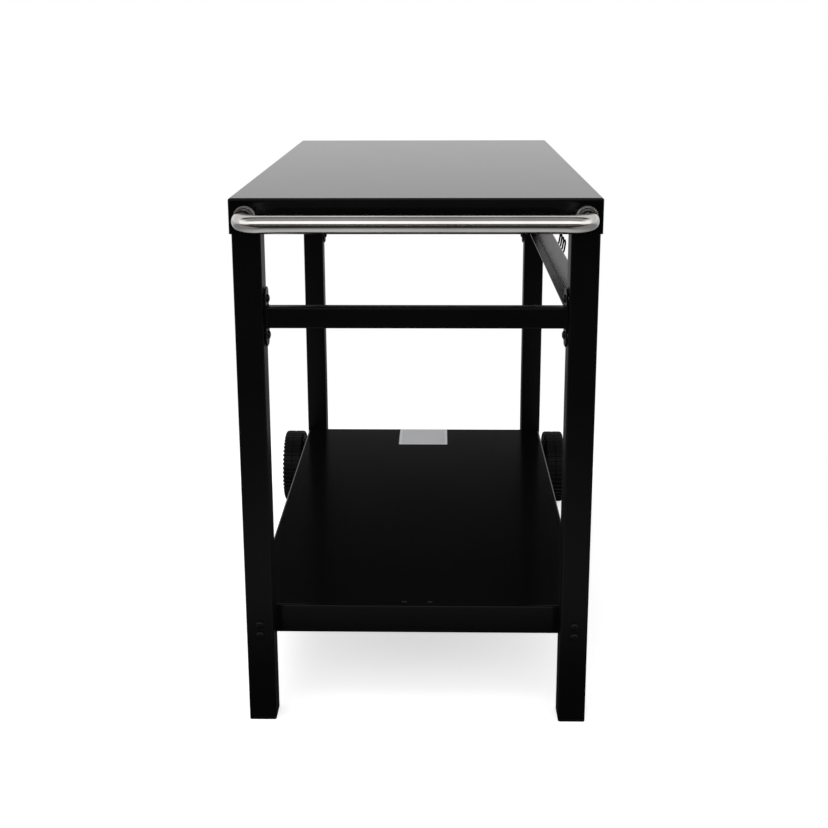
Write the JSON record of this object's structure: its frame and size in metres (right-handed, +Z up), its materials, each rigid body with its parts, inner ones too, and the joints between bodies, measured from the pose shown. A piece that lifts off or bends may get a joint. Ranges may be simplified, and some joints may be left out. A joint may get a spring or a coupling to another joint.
{
  "type": "grill cart",
  "caption": "Black steel outdoor grill cart: folded-sheet worktop and lower shelf on square legs, stainless push handle, hook rail and a pair of wheels.",
  "frame": {"origin": "on the floor, at the centre of the cart's bounding box seen from above", "axes": "+Z up; +Y along the cart from the handle towards the wheels; +X to the right, on the side of the tool rail"},
  "size_m": [0.6064, 1.0494, 0.787],
  "materials": {
    "black_sheet_coat": "smooth semi-gloss black powder coat on folded sheet steel",
    "black_powder_coat": "satin black powder coat with a fine orange-peel",
    "brushed_stainless": "stainless tube brushed along its length",
    "black_fastener": "black oxide with bare high spots",
    "zinc_steel": "bright zinc plate",
    "black_plastic": "fine-textured moulded plastic",
    "tyre_rubber": "matt black rubber with a ribbed tread",
    "silver_label": "satin silver foil, blank"
  },
  "bodies": {
    "frame": {"worktop": "black_sheet_coat", "worktop_channel": "black_powder_coat", "worktop_bolts": "black_fastener", "worktop_inserts": "zinc_steel", "handle_tube": "brushed_stainless", "handle_ferrule_left": "brushed_stainless", "handle_ferrule_right": "brushed_stainless", "handle_plugs": "zinc_steel", "handle_bolts": "black_fastener", "front_leg_left": "black_powder_coat", "front_leg_right": "black_powder_coat", "rear_leg_left": "black_powder_coat", "rear_leg_right": "black_powder_coat", "front_foot_left": "black_plastic", "front_foot_right": "black_plastic", "rear_cap_left": "black_plastic", "rear_cap_right": "black_plastic", "front_crossbar": "black_powder_coat", "front_crossbar_plates": "black_powder_coat", "front_crossbar_bolts": "black_fastener", "front_crossbar_inserts": "zinc_steel", "rear_crossbar": "black_powder_coat", "rear_crossbar_plates": "black_powder_coat", "rear_crossbar_bolts": "black_fastener", "rear_crossbar_inserts": "zinc_steel", "tool_rail": "black_powder_coat", "tool_rail_bolts": "black_fastener", "tool_rail_inserts": "zinc_steel", "hook_1": "black_powder_coat", "hook_2": "black_powder_coat", "hook_3": "black_powder_coat", "hook_4": "black_powder_coat", "shelf": "black_sheet_coat", "shelf_channel": "black_powder_coat", "shelf_rivets": "black_fastener", "shelf_bolts": "black_fastener", "shelf_nuts": "zinc_steel", "label_plate": "silver_label", "axle": "zinc_steel", "axle_spacers": "black_plastic", "axle_washers": "zinc_steel", "axle_nuts": "zinc_steel"},
    "left_wheel": {"wheel_left_rim": "black_plastic", "wheel_left_tyre": "tyre_rubber"},
    "right_wheel": {"wheel_right_rim": "black_plastic", "wheel_right_tyre": "tyre_rubber"}
  },
  "joints": [
    {"name": "left_wheel_spin", "type": "hinge", "parent": "frame", "child": "left_wheel", "pos_m": [-0.28245, 0.4485, 0.0762], "axis": [1, 0, 0], "continuous": true},
    {"name": "right_wheel_spin", "type": "hinge", "parent": "frame", "child": "right_wheel", "pos_m": [0.28245, 0.4485, 0.0762], "axis": [1, 0, 0], "continuous": true}
  ]
}
